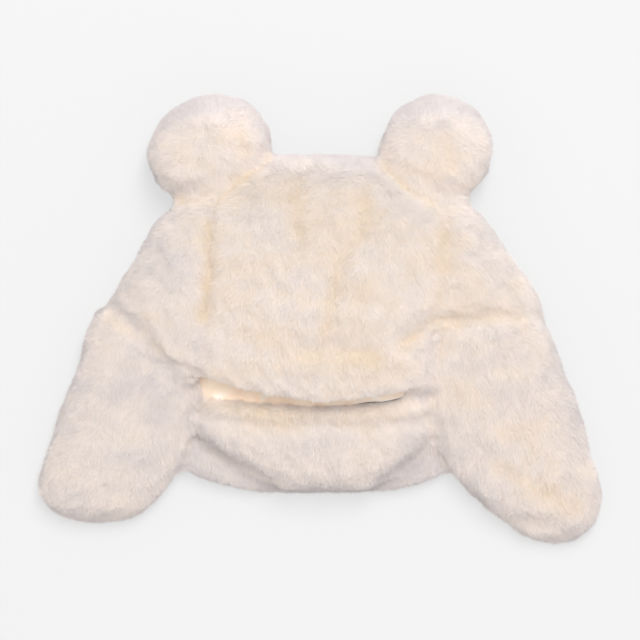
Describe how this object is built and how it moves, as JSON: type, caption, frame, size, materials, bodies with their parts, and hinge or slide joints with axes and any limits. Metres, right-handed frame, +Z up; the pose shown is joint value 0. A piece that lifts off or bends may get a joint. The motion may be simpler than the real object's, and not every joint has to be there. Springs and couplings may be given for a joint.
{
  "type": "bear ear hat",
  "caption": "Winter hat of cream plush fur with two stuffed round ears, long stuffed ear flaps and a fur facing at the neck, lying flat on its back",
  "frame": {"origin": "middle of the bounding box on the table it lies on", "axes": "+X to the right across the hat seen from above, +Y towards the ears, +Z up from the table, out of the front panel"},
  "size_m": [0.4384, 0.347, 0.089],
  "materials": {
    "fur": "deep soft plush",
    "lining": "smooth satin"
  },
  "bodies": {
    "root": {"crown_front": "fur", "crown_side_left": "fur", "crown_side_right": "fur", "crown_back": "fur", "ear_left": "fur", "ear_right": "fur", "flap_left": "fur", "flap_right": "fur", "neck_facing": "fur", "lining": "lining"}
  },
  "joints": []
}
